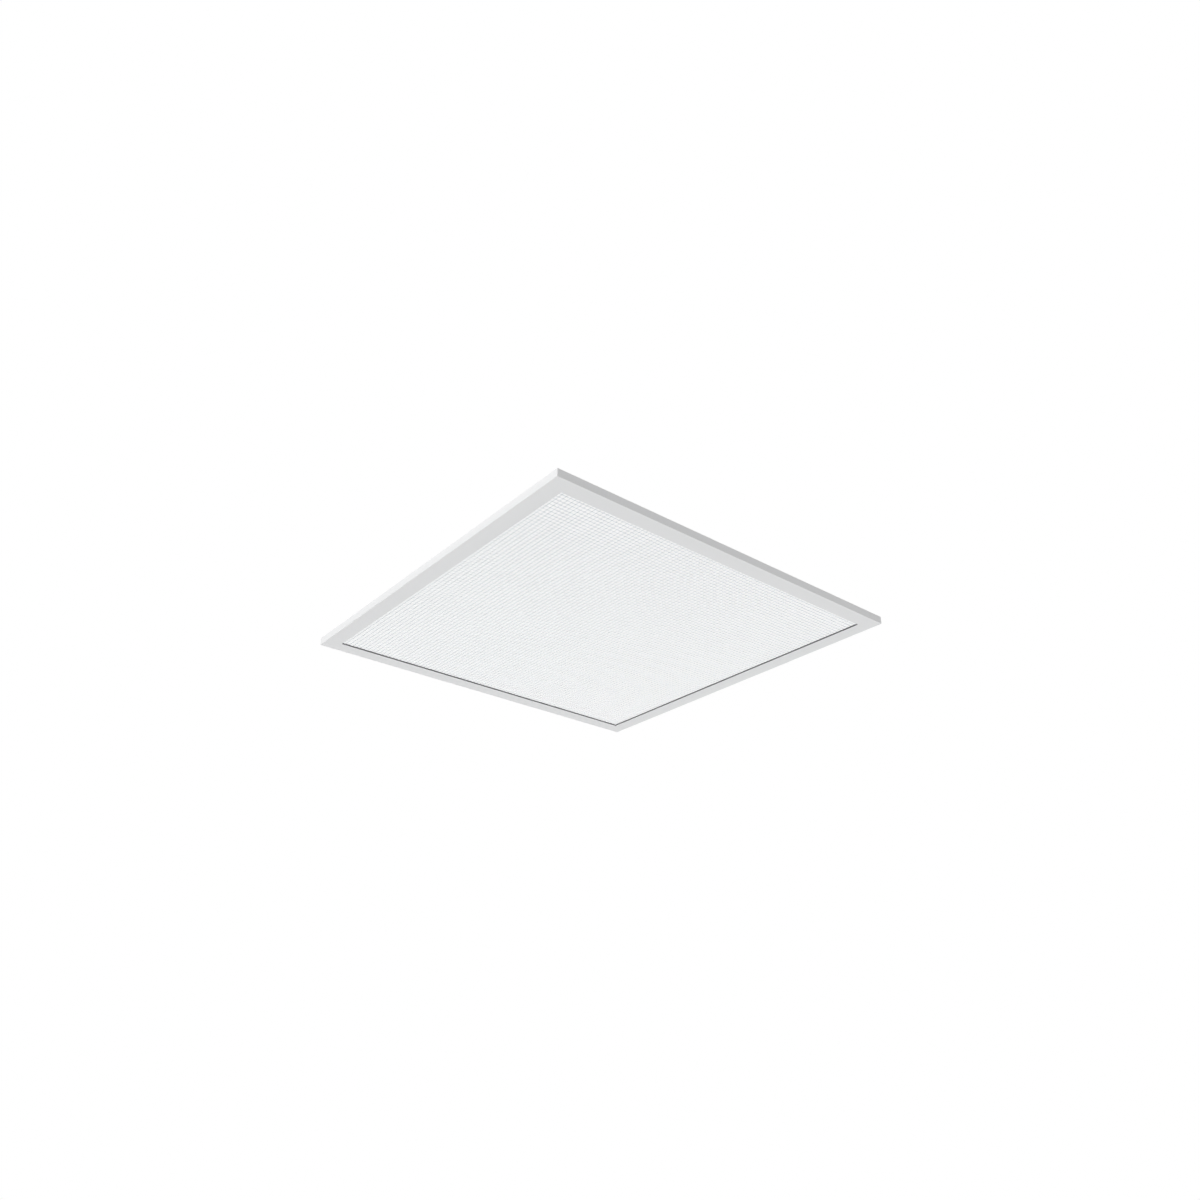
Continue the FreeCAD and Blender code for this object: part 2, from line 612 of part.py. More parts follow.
bore(other_holes, "lead_along", "lead_across", "lead_bore + grommet_wall + grommet_play", PIVOT_FLATS)
cut(other_holes, "plate_thickness")

screws = fastener("plate_screws", "-screw_side", "screw_line - half", "plate_top", "screw_radius",
                  "plate_thickness + screw_depth", "screw_head_radius", "screw_head_height")
repeat(screws, [("X", "2 * screw_side", SCREWS_PER_SIDE)], turns=4)


def hanger_bracket(corner, across, along):
    """A Z of bent sheet: a riveted foot, a riser and a tab with the hanger hole."""
    bracket = new_body(f"hanger_bracket_{corner}")
    riser = "(bracket_foot / 2)"
    low, high = "(bracket_sheet + bracket_bend)", "(bracket_rise - bracket_bend)"
    first, second = f"({riser} - bracket_sheet - bracket_bend)", f"({riser} + bracket_bend)"
    outer = "(bracket_bend + bracket_sheet)"
    tab = f"({riser} + bracket_tab)"
    side = sketch(bracket, "XZ")
    outline(side, [
        (f"-{riser}", 0), (first, 0, first, low, 1),
        (riser, low), (riser, high, second, high, -1),
        (second, "bracket_rise"), (tab, "bracket_rise"), (tab, "bracket_rise + bracket_sheet"),
        (second, "bracket_rise + bracket_sheet", second, high, 1),
        (f"{riser} - bracket_sheet", high), (f"{riser} - bracket_sheet", low,
                                             first, low, -1),
        (first, "bracket_sheet"), (f"-{riser}", "bracket_sheet"),
    ])
    pad(side, "bracket_width", both_ways=True)
    rivet = sketch(bracket, "XY", z="bracket_sheet")
    bore(rivet, 0, 0, "rivet_hole", SCREW_FLATS)
    cut(rivet, "bracket_sheet")
    hanger = sketch(bracket, "XY", z="bracket_rise + bracket_sheet")
    circle(hanger, f"{tab} - hanger_hole_edge", 0, "hanger_hole_radius")
    cut(hanger, "bracket_sheet")
    moved(bracket, f"{across} * bracket_place", f"{along} * bracket_place", "plate_top",
          90 + 90 * across)


def grid_clip(corner, across, along):
    """A swing clip, folded in along the frame: an eye, an arm and a turned-up end."""
    clip = new_body(f"grid_clip_{corner}")
    bend = "(clip_tip - clip_sheet - bracket_bend)"
    low = "(clip_sheet + bracket_bend)"
    side = sketch(clip, "XZ")
    outline(side, [
        (0, 0), (bend, 0, bend, low, 1), ("clip_tip", low), ("clip_tip", "clip_flag"),
        ("clip_tip - clip_sheet", "clip_flag"), ("clip_tip - clip_sheet", low, bend, low, -1),
        (bend, "clip_sheet"), (0, "clip_sheet"),
    ])
    pad(side, "clip_width", both_ways=True)
    eye = sketch(clip, "XY")
    polygon(eye, 0, 0, "clip_eye_radius", 2 * PIVOT_FLATS)
    pad(eye, "clip_sheet")
    pivot = sketch(clip, "XY", z="clip_sheet")
    bore(pivot, 0, 0, "rivet_hole", PIVOT_FLATS)
    cut(pivot, "clip_sheet")
    moved(clip, f"{across} * clip_offset", f"{along} * clip_place", "clip_bottom", 90 + 90 * along)


for name, (across, along) in CORNERS.items():
    hanger_bracket(name, across, along)
    grid_clip(name, across, along)

rivets = fastener("bracket_rivets", "-bracket_place", "-bracket_place", "plate_top + bracket_sheet",
                  "rivet_radius", "plate_thickness + bracket_sheet", "rivet_head_radius",
                  "rivet_head_height")
repeat(rivets, [("X", "2 * bracket_place", 2), ("Y", "2 * bracket_place", 2)])

# A clip turns on its rivet, between the rivet's head and a collar on the plate.
clip_rivets = fastener("clip_rivets", "-clip_offset", "-clip_place", "clip_top + running_gap",
                       "rivet_radius", "clip_top + running_gap - seat_height", "rivet_head_radius",
                       "rivet_head_height")
collar = sketch(clip_rivets[0].getParentGeoFeatureGroup(), "XY", "-clip_offset", "-clip_place",
                "plate_top")
polygon(collar, 0, 0, "pivot_collar_radius", PIVOT_FLATS)
repeat(clip_rivets + [pad(collar, "pivot_collar")], [("X", "2 * clip_offset", 2), ("Y", "2 * clip_place", 2)])


# --- The driver box: a folded sheet box with a hinged lid ---

box = new_body("driver_box")
walls = sketch(box, "XY", y="box_offset", z="plate_top")
rounded_rectangle(walls, "-box_half", "-box_width / 2", "box_half", "box_width / 2", "box_corner")
pad(walls, "box_top - plate_top")
room = sketch(box, "XY", y="box_offset", z="box_top")
rounded_rectangle(room, "(box_sheet - box_half)", "(box_sheet - box_width / 2)",
                  "(box_half - box_sheet)", "(box_width / 2 - box_sheet)", "(box_corner - box_sheet)")
cut(room, "box_top - floor_top")
leaf = sketch(box, "YZ", x="-hinge_offset - knuckle_step", y="hinge_back", z="hinge_height")
wall_line = "(-running_gap - knuckle_radius)"
outline(leaf, [
    (f"{wall_line} - box_sheet / 2", "-hinge_leaf"), (f"{wall_line} + box_sheet", "-hinge_leaf"),
    ("knuckle_radius", 0, 0, 0, 1), ("-knuckle_radius", 0),
    (f"{wall_line} - box_sheet / 2", "-knuckle_radius"),
])
bore(leaf, 0, 0, "pin_hole", PIVOT_FLATS)
repeat([pad(leaf, "knuckle_length", both_ways=True)],
       [("X", "2 * knuckle_step", 2), ("X", "2 * hinge_offset", 2)])
entry = sketch(box, "YZ", x="-box_half", y="box_offset", z="cable_middle")
bore(entry, 0, 0, "cable_bore + grommet_wall + grommet_play", PIVOT_FLATS)
cut(entry, "4 * box_sheet", both_ways=True)
slits = sketch(box, "YZ", x="-box_half", y="box_offset", z="cable_middle")
for along in (-1, 1):
    for radius in ("knockout_radius", "(knockout_radius - knockout_slit)"):
        polygon(slits, f"{along} * knockout_spacing", 0, radius, 2 * PIVOT_FLATS)
cut(slits, "box_sheet - knockout_web", reverse=True)
floor_holes = sketch(box, "XY", y="box_offset", z="floor_top")
for across, along in CORNERS.values():
    bore(floor_holes, f"{across} * box_screw_along", f"{along} * box_screw_across", "small_screw_hole",
         SCREW_FLATS)
bore(floor_holes, "lead_along", "lead_across - box_offset", "lead_bore + grommet_wall + grommet_play",
     PIVOT_FLATS)
bore(floor_holes, "earth_inset - box_half", "earth_inset - box_width / 2", "rivet_hole", SCREW_FLATS)
for along in (-1, 1):
    bore(floor_holes, "foot_end - block_foot / 2", f"{along} * block_screw_spacing / 2",
         "small_screw_hole", SCREW_FLATS)
for end in ("driver_start + driver_ear / 2", "driver_end - driver_ear / 2"):
    bore(floor_holes, end, 0, "small_screw_hole", SCREW_FLATS)
cut(floor_holes, "box_sheet")


def front_corners(drawing, end, front, back, radius):
    """Draw a rectangle from -end to +end whose two front corners are rounded."""
    near, far, side = f"({radius} - {end})", f"({end} - {radius})", f"({front} + {radius})"
    outline(drawing, [
        (near, front), (far, front, far, side, 1),
        (end, side), (end, back), (f"-{end}", back),
        (f"-{end}", side, near, side, 1),
    ])


lid = new_body("box_lid")
lid_end = "(box_half + running_gap + box_sheet)"
lid_front = "(box_front - running_gap - box_sheet)"
cover = sketch(lid, "XY", z="lid_bottom - lid_lip")
front_corners(cover, lid_end, lid_front, "box_back", "lid_corner")
round_top(pad(cover, "lid_lip + box_sheet"), "lid_top", "lid_bend", "box_back")
under = sketch(lid, "XY", z="lid_bottom - lid_lip")
front_corners(under, "(box_half + running_gap)", "(box_front - running_gap)", "box_back + box_sheet",
              "(lid_corner - box_sheet)")
cut(under, "lid_lip", reverse=True)
curl = sketch(lid, "YZ", x="-hinge_offset", y="hinge_back", z="hinge_height")
leaf_start = "(-running_gap - 2 * knuckle_radius)"
leaf_low = "(knuckle_radius - box_sheet)"
outline(curl, [
    (leaf_start, leaf_low),
    ("-sqrt(knuckle_radius * knuckle_radius - (knuckle_radius - box_sheet)"
     " * (knuckle_radius - box_sheet))", leaf_low, 0, 0, 1),
    (0, "knuckle_radius"), (leaf_start, "knuckle_radius"),
])
bore(curl, 0, 0, "pin_hole", PIVOT_FLATS)
repeat([pad(curl, "knuckle_length", both_ways=True)], [("X", "2 * hinge_offset", 2)])

pins = new_body("lid_hinge_pins")
pin_end = "(knuckle_step + knuckle_length / 2)"
pin = sketch(pins, "YZ", "-hinge_offset", "hinge_back", "hinge_height")
polygon(pin, 0, 0, "pin_radius", PIVOT_FLATS)
pin_parts = [pad(pin, f"2 * {pin_end}", both_ways=True)]
for side, reverse in ((-1, True), (1, False)):
    head = sketch(pins, "YZ", f"{side} * {pin_end} - hinge_offset", "hinge_back", "hinge_height")
    polygon(head, 0, 0, "pin_head_radius", PIVOT_FLATS)
    pin_parts.append(pad(head, "pin_head", reverse=reverse))
repeat(pin_parts, [("X", "2 * hinge_offset", 2)])

box_screws = fastener("box_screws", "-box_screw_along", "box_offset - box_screw_across", "floor_top",
                      "small_screw_radius", "box_sheet + plate_thickness", "small_head_radius",
                      "small_head_height")
repeat(box_screws, [("X", "2 * box_screw_along", 2), ("Y", "2 * box_screw_across", 2)])
fastener("earth_screw", "earth_inset - box_half", "box_front + earth_inset", "floor_top",
         "rivet_radius", "box_sheet", "earth_head_radius", "2 * rivet_head_height")

cable_hole = grommet("cable_grommet", "YZ", ("-box_half", "box_offset", "cable_middle"), "cable_bore",
                     "box_sheet")
circle(cable_hole, 0, 0, "cable_bore")
cut(cable_hole, "4 * flange_thickness", both_ways=True)

lead_hole = grommet("lead_grommet", "XY", ("lead_along", "lead_across", "seat_height"), "lead_bore",
                    "plate_thickness + box_sheet")
bore(lead_hole, 0, 0, "lead_bore", PIVOT_FLATS)
cut(lead_hole, "4 * flange_thickness", both_ways=True)


# --- The terminal block and its three levers ---

block = new_body("terminal_block")
side = sketch(block, "XZ", y="box_offset", z="floor_top")
outline(side, [
    ("block_front", 0), ("foot_end", 0), ("foot_end", "block_foot_height"),
    ("block_back", "block_foot_height"), ("block_back", "block_height"), ("block_front", "block_height"),
])
pad(side, "block_width", both_ways=True)
slots = sketch(block, "XZ", x="pivot_along", y="box_offset - lever_pitch", z="pivot_height")
hub_room = "(lever_hub + running_gap)"
outline(slots, [
    (f"-{hub_room}", f"-{hub_room}"), (hub_room, f"-{hub_room}"), (hub_room, "2 * lever_depth"),
    ("-block_length", "2 * lever_depth"), ("-block_length", "-running_gap"),
    (f"-{hub_room}", "-running_gap"),
])
slot = cut(slots, "lever_slot", both_ways=True)
ports = sketch(block, "YZ", x="block_front", y="box_offset - lever_pitch", z="floor_top + port_height")
bore(ports, 0, 0, "port_radius", PIVOT_FLATS)
port = cut(ports, "port_depth", reverse=True)
repeat([slot, port], [("Y", "2 * lever_pitch", 3)])
axle = sketch(block, "XZ", x="pivot_along", y="box_offset", z="pivot_height")
bore(axle, 0, 0, "lever_pin_hole", PIVOT_FLATS)
cut(axle, "2 * block_width", both_ways=True)
foot_holes = sketch(block, "XY", y="box_offset", z="floor_top + block_foot_height")
for along in (-1, 1):
    bore(foot_holes, "foot_end - block_foot / 2", f"{along} * block_screw_spacing / 2",
         "small_screw_hole", SCREW_FLATS)
cut(foot_holes, "block_foot_height")

terminal_pin = new_body("terminal_pin")
axle = sketch(terminal_pin, "XZ", x="pivot_along", y="box_offset", z="pivot_height")
polygon(axle, 0, 0, "lever_pin_radius", PIVOT_FLATS)
pad(axle, "block_width", both_ways=True)


def terminal_lever(pole, step):
    lever = new_body(f"terminal_lever_{pole}")
    grooves = []
    for groove in range(LEVER_GROOVES, 0, -1):
        middle = f"(lever_tip + {groove} * groove_pitch - lever_length)"
        grooves += [(f"{middle} + groove_depth", "lever_hub"), (middle, "lever_hub - groove_depth"),
                    (f"{middle} - groove_depth", "lever_hub")]
    arm = sketch(lever, "XZ")
    outline(arm, [
        (0, 0), (0, "lever_hub"), *grooves, ("lever_tip - lever_length", "lever_hub"),
        ("-lever_length", "lever_hub + lever_tip / 2"), ("-lever_length", "lever_hub - lever_tip"),
    ])
    pad(arm, "lever_width", both_ways=True)
    hub = sketch(lever, "XZ")
    polygon(hub, 0, 0, "lever_hub", PIVOT_FLATS)
    pad(hub, "lever_width", both_ways=True)
    axle_hole = sketch(lever, "XZ")
    bore(axle_hole, 0, 0, "lever_pin_hole", PIVOT_FLATS)
    cut(axle_hole, "2 * lever_width", both_ways=True)
    moved(lever, "pivot_along", f"box_offset + {step} * lever_pitch", "pivot_height")


for name, step in POLES.items():
    terminal_lever(name, step)

block_screws = fastener("terminal_screws", "foot_end - block_foot / 2",
                        "box_offset - block_screw_spacing / 2", "floor_top + block_foot_height",
                        "small_screw_radius", "box_sheet + block_foot_height", "small_head_radius",
                        "small_head_height")
repeat(block_screws, [("Y", "block_screw_spacing", 2)])


# --- The driver: a base tray, a circuit board with its tallest parts, and a vented cover ---

tray = new_body("driver_base")
base = sketch(tray, "XY", x="driver_middle", y="box_offset", z="floor_top")
rectangle(base, "-driver_length / 2", "-driver_width / 2", "driver_length / 2", "driver_width / 2")
pad(base, "driver_sheet")
rails = sketch(tray, "XY", x="driver_middle", y="box_offset", z="tray_floor")
for along in (-1, 1):
    edge = f"({along} * board_half_width)"
    rectangle(rails, "-board_half_length", edge, "board_half_length", f"{edge} - {along} * driver_sheet")
pad(rails, "tray_wall")
ears = sketch(tray, "XY", x="driver_middle", y="box_offset", z="tray_floor")
for end in (-1, 1):
    bore(ears, f"{end} * (driver_length - driver_ear) / 2", 0, "small_screw_hole", SCREW_FLATS)
cut(ears, "driver_sheet")

board = new_body("driver_board")
outer = sketch(board, "XY", x="driver_middle", y="box_offset", z="board_bottom")
rectangle(outer, "-board_half_length", "-board_half_width", "board_half_length", "board_half_width")
pad(outer, "board_thickness")

coil = new_body("driver_transformer")
core = sketch(coil, "XY", x="driver_middle + coil_offset", y="box_offset", z="board_top")
rectangle(core, "-coil_length / 2", "-coil_width / 2", "coil_length / 2", "coil_width / 2")
pad(core, "parts_top - board_top")

capacitors = new_body("driver_capacitors")
can = sketch(capacitors, "XY", x="driver_middle - capacitor_offset", y="box_offset", z="board_top")
polygon(can, 0, 0, "capacitor_radius", PIVOT_FLATS)
repeat([pad(can, "parts_top - board_top")], [("X", "capacitor_pitch", 2)])

shell = new_body("driver_cover")
skin = sketch(shell, "XY", x="driver_middle", y="box_offset", z="tray_floor")
rounded_rectangle(skin, "-cover_half", "-driver_width / 2", "cover_half", "driver_width / 2",
                  "driver_corner")
pad(skin, "driver_top - tray_floor")
void = sketch(shell, "XY", x="driver_middle", y="box_offset", z="tray_floor")
rectangle(void, "driver_wall - cover_half", "driver_wall - driver_width / 2",
          "cover_half - driver_wall", "driver_width / 2 - driver_wall")
cut(void, "driver_top - tray_floor - driver_wall", reverse=True)
vent = sketch(shell, "XY", x="driver_middle + coil_offset - 2 * vent_pitch", y="box_offset",
              z="driver_top")
rectangle(vent, "-vent_width / 2", "-vent_length / 2", "vent_width / 2", "vent_length / 2")
repeat([cut(vent, "driver_wall")], [("X", "4 * vent_pitch", 5)])

driver_screws = fastener("driver_screws", "driver_start + driver_ear / 2", "box_offset", "tray_floor",
                         "small_screw_radius", "box_sheet + driver_sheet", "small_head_radius",
                         "small_head_height")
repeat(driver_screws, [("X", "driver_length - driver_ear", 2)])


# --- Check every object, then write each sub-part ---

doc.recompute()
for item in doc.Objects:
    if "Invalid" in item.State or "Error" in item.State:
        raise RuntimeError(f"{item.Name} failed: {item.State}")
sub_parts = [item for item in doc.Objects if item.TypeId == "PartDesign::Body"]
for item in sub_parts:
    if item.Shape.isNull() or not item.Shape.isValid() or not item.Shape.Solids:
        raise RuntimeError(f"{item.Label} has no valid shape")
os.makedirs("parts", exist_ok=True)
for item in sub_parts:
    item.Shape.exportStep(f"parts/{item.Label}.step")
    print(f"{item.Label}: {len(item.Shape.Solids)} solids, {item.Shape.Volume:.0f} mm3")
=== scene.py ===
"""Looks for a recessed troffer light: a flat edge-lit panel with a white frame and a prismatic lens.

Metres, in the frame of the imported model: the origin is the centre of the rim's lower face, +Z points up
into the ceiling, and the light leaves downwards.
"""

import json
import math

import bpy
import numpy as np
from mathutils import Matrix, Vector


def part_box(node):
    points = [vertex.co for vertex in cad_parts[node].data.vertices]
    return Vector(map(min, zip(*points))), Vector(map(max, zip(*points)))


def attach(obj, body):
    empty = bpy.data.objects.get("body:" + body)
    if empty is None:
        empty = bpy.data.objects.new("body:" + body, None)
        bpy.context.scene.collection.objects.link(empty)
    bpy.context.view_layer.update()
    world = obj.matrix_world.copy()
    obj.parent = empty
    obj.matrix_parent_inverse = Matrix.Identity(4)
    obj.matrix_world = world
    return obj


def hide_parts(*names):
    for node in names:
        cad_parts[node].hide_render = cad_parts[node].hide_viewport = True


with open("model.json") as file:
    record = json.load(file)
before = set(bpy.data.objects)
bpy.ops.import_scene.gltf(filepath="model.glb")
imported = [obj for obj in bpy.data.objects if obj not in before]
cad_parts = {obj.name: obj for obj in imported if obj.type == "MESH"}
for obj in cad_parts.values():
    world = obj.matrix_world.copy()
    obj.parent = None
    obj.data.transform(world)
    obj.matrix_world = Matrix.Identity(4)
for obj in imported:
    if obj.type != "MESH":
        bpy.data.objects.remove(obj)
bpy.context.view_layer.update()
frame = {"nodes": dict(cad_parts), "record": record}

NODES = frame["nodes"]
MM = 0.001

# Sizes that the solids don't give, in metres. Grooves that cross are twice GROOVE_DEPTH deep, which is
# less than the lens's sheet.
PRISM_PITCH = 6.29 * MM
GROOVE_DEPTH = 0.85 * MM
GROOVE_HALF = 0.72 * MM
RIM_WIDTH = 24.3 * MM
FOAM_RELIEF = 2.5 * MM

# The lens's look, chosen to come near the photograph. GROOVE_SHADE says for the grooves that cross an
# axis how wide half of their band of painted shade at the bottom is, and how dark it gets.
LENS_COLOURS = ((0.92, 0.925, 0.93), (0.94, 0.945, 0.95))
SHADE_COLOUR = (0.15, 0.19, 0.22)
GROOVE_SHADE = {"X": (0.29 * MM, 0.75), "Y": (0.34 * MM, 1.0)}
SHADE_SOFTNESS = 0.25
LENS_GLOW = 0.13
ACRYLIC_IOR = 1.49

# The frame's look. The dark line round the lens is painted shade on the lip, in place of the shadow there.
# It fades out between the two distances of LIP_FADE outside the opening.
FRAME_WHITE = (0.79, 0.795, 0.80)
LIP_PAINTED_SHADE = (0.11, 0.11, 0.115)
LIP_FADE = (0.05 * MM, 0.4 * MM)

CORNERS = {"front_left": (-1, -1), "front_right": (1, -1), "back_right": (1, 1), "back_left": (-1, 1)}
POLES = ("live", "earth", "neutral")


# --- Materials ---

def nodes_of(name):
    """A new material, with its node tree and its shader."""
    material = bpy.data.materials.new(name)
    material.use_nodes = True
    tree = material.node_tree
    return material, tree, tree.nodes["Principled BSDF"]


def add(tree, kind, **settings):
    """A new shader node. A setting is an input's name or, where the node has it, a property."""
    node = tree.nodes.new(kind)
    for key, setting in settings.items():
        if hasattr(node, key):
            setattr(node, key, setting)
        else:
            node.inputs[key.replace("_", " ").capitalize()].default_value = setting
    return node


def place_in(tree, stretch=(1, 1, 1)):
    """Object coordinates in metres, stretched where a grain has a direction."""
    coordinates = add(tree, "ShaderNodeTexCoord")
    mapping = add(tree, "ShaderNodeMapping")
    mapping.inputs["Scale"].default_value = stretch
    tree.links.new(coordinates.outputs["Object"], mapping.inputs["Vector"])
    return mapping.outputs["Vector"]


def noise(tree, place, scale, detail=3.0, roughness=0.5):
    """A noise pattern, with scale as its number of waves in a metre."""
    node = add(tree, "ShaderNodeTexNoise", Scale=scale, Detail=detail, Roughness=roughness)
    tree.links.new(place, node.inputs["Vector"])
    return node.outputs["Fac"]


def spread(tree, value, low, high, start=0.0, end=1.0):
    """Map a value from start-end to low-high."""
    node = add(tree, "ShaderNodeMapRange")
    node.inputs["From Min"].default_value = start
    node.inputs["From Max"].default_value = end
    node.inputs["To Min"].default_value = low
    node.inputs["To Max"].default_value = high
    tree.links.new(value, node.inputs["Value"])
    return node.outputs["Result"]


def blend_colours(tree, value, first, second):
    """A colour between two, by a value from 0 to 1."""
    node = add(tree, "ShaderNodeMix", data_type="RGBA")
    tree.links.new(value, node.inputs["Factor"])
    for socket, colour in (("A", first), ("B", second)):
        target = [item for item in node.inputs if item.name == socket and item.type == "RGBA"][0]
        if isinstance(colour, bpy.types.NodeSocket):
            tree.links.new(colour, target)
        else:
            target.default_value = (*colour, 1)
    return [item for item in node.outputs if item.type == "RGBA"][0]


def bump(tree, shader, height, distance, strength=1.0):
    """Raise the surface by a height pattern, distance metres at most."""
    node = add(tree, "ShaderNodeBump", Strength=strength, Distance=distance)
    tree.links.new(height, node.inputs["Height"])
    tree.links.new(node.outputs["Normal"], shader.inputs["Normal"])


def shade(colour, factor):
    """A colour made darker or lighter."""
    return tuple(min(channel * factor, 1.0) for channel in colour)


def coating(name, colour, roughness, grain, depth, variation=0.03, cloud=9.0):
    """A painted or moulded surface, with a fine grain and a slow change of tone and of gloss.

    Grain and cloud are the waves in a metre of the two, depth is the grain's height in metres, and
    variation is how much darker the tone gets.
    """
    material, tree, shader = nodes_of(name)
    place = place_in(tree)
    tone = noise(tree, place, cloud, 4.0)
    mixed = blend_colours(tree, spread(tree, tone, 0, 1, 0.3, 0.7), shade(colour, 1 - variation), colour)
    tree.links.new(mixed, shader.inputs["Base Color"])
    gloss = noise(tree, place, cloud * 3, 2.0)
    tree.links.new(spread(tree, gloss, roughness - 0.05, roughness + 0.05), shader.inputs["Roughness"])
    bump(tree, shader, noise(tree, place, grain, 2.0), depth)
    return material


def zinc(name, colour, cell=140.0, roughness=0.38):
    """Zinc-coated steel: crystals of slightly different tone and gloss, and rolling marks."""
    material, tree, shader = nodes_of(name)
    place = place_in(tree)
    bent = add(tree, "ShaderNodeVectorMath", operation="ADD")
    wobble = add(tree, "ShaderNodeTexNoise", Scale=90.0, Detail=2.0)
    tree.links.new(place, wobble.inputs["Vector"])
    small = add(tree, "ShaderNodeVectorMath", operation="SCALE")
    small.inputs["Scale"].default_value = 0.006
    tree.links.new(wobble.outputs["Color"], small.inputs[0])
    tree.links.new(place, bent.inputs[0])
    tree.links.new(small.outputs["Vector"], bent.inputs[1])
    crystals = add(tree, "ShaderNodeTexVoronoi", Scale=cell)
    tree.links.new(bent.outputs["Vector"], crystals.inputs["Vector"])
    tone = add(tree, "ShaderNodeSeparateColor")
    tree.links.new(crystals.outputs["Color"], tone.inputs["Color"])
    mixed = blend_colours(tree, tone.outputs["Red"], shade(colour, 0.84), colour)
    tree.links.new(mixed, shader.inputs["Base Color"])
    tree.links.new(spread(tree, tone.outputs["Green"], roughness - 0.08, roughness + 0.10),
                   shader.inputs["Roughness"])
    shader.inputs["Metallic"].default_value = 1.0
    marks = noise(tree, place_in(tree, (900, 40, 900)), 1.0, 3.0)
    bump(tree, shader, marks, 0.00002)
    return material


def metal(name, colour, roughness, scratch=(60, 1800, 60)):
    """Plated or plain metal with fine marks in one direction."""
    material, tree, shader = nodes_of(name)
    marks = noise(tree, place_in(tree, scratch), 1.0, 4.0)
    mixed = blend_colours(tree, spread(tree, marks, 0, 1, 0.3, 0.7), shade(colour, 0.86), colour)
    tree.links.new(mixed, shader.inputs["Base Color"])
    tree.links.new(spread(tree, marks, roughness - 0.06, roughness + 0.08), shader.inputs["Roughness"])
    shader.inputs["Metallic"].default_value = 1.0
    bump(tree, shader, marks, 0.00001)
    return material


def frame_paint_and_shade():
    """White powder coat, with painted shade: dark on the lip's upright inner faces, as the shadow line round
    the lens.
    """
    material = coating("frame_paint_and_shade", FRAME_WHITE, 0.42, 900.0, 0.000003, 0.006)
    tree = material.node_tree
    shader = tree.nodes["Principled BSDF"]
    paint = shader.inputs["Base Color"].links[0].from_socket
    parts = add(tree, "ShaderNodeSeparateXYZ")
    tree.links.new(place_in(tree), parts.inputs["Vector"])
    sizes = []
    for axis in ("X", "Y"):
        size = add(tree, "ShaderNodeMath", operation="ABSOLUTE")
        tree.links.new(parts.outputs[axis], size.inputs[0])
        sizes.append(size.outputs[0])
    outermost = add(tree, "ShaderNodeMath", operation="MAXIMUM")
    tree.links.new(sizes[0], outermost.inputs[0])
    tree.links.new(sizes[1], outermost.inputs[1])
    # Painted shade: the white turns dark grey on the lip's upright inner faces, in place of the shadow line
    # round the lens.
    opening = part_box("frame_rail_right")[1].x - RIM_WIDTH
    lip = spread(tree, outermost.outputs[0], 1, 0, opening + LIP_FADE[0], opening + LIP_FADE[1])
    tree.links.new(blend_colours(tree, lip, paint, LIP_PAINTED_SHADE), shader.inputs["Base Color"])
    return material


def lens_acrylic():
    """White, faintly blue acrylic that glows a little, with painted shade at the bottom of its grooves.

    The cells are odd in number, so that the grooves lie half a pitch off the middle, as the waves do.
    """
    material, tree, shader = nodes_of("lens_acrylic")
    place = place_in(tree)
    parts = add(tree, "ShaderNodeSeparateXYZ")
    tree.links.new(place, parts.inputs["Vector"])
    # Painted shade: a dark band along the bottom of each groove, darker for the grooves that cross Y than for
    # those that cross X. The glow takes the same colour, so it is dimmer there too.
    bands = []
    for axis, (half, amount) in GROOVE_SHADE.items():
        angle = add(tree, "ShaderNodeMath", operation="MULTIPLY_ADD")
        angle.inputs[1].default_value = 2 * math.pi / lens_pitch
        angle.inputs[2].default_value = math.pi
        tree.links.new(parts.outputs[axis], angle.inputs[0])
        wave = add(tree, "ShaderNodeMath", operation="COSINE")
        tree.links.new(angle.outputs[0], wave.inputs[0])
        edge = 2 * math.pi * half / lens_pitch
        clear_from, dark_from = (math.cos((1 + side * SHADE_SOFTNESS) * edge) for side in (1, -1))
        bands.append(spread(tree, wave.outputs[0], 0, amount, clear_from, dark_from))
    groove = add(tree, "ShaderNodeMath", operation="MAXIMUM")
    tree.links.new(bands[0], groove.inputs[0])
    tree.links.new(bands[1], groove.inputs[1])
    tone = noise(tree, place, 7.0, 3.0)
    clear = blend_colours(tree, tone, *LENS_COLOURS)
    mixed = blend_colours(tree, groove.outputs[0], clear, SHADE_COLOUR)
    tree.links.new(mixed, shader.inputs["Base Color"])
    tree.links.new(mixed, shader.inputs["Emission Color"])
    shader.inputs["Emission Strength"].default_value = LENS_GLOW
    tree.links.new(spread(tree, tone, 0.25, 0.35), shader.inputs["Roughness"])
    shader.inputs["IOR"].default_value = ACRYLIC_IOR
    return material


def foam_skin():
    """Pale closed-cell foam: small open bubbles."""
    material, tree, shader = nodes_of("foam_skin")
    place = place_in(tree)
    cells = add(tree, "ShaderNodeTexVoronoi", Scale=900.0)
    tree.links.new(place, cells.inputs["Vector"])
    mixed = blend_colours(tree, spread(tree, cells.outputs["Distance"], 0, 1, 0.0, 0.6),
                          (0.62, 0.62, 0.60), (0.80, 0.80, 0.78))
    tree.links.new(mixed, shader.inputs["Base Color"])
    shader.inputs["Roughness"].default_value = 0.95
    bump(tree, shader, cells.outputs["Distance"], 0.0003)
    return material


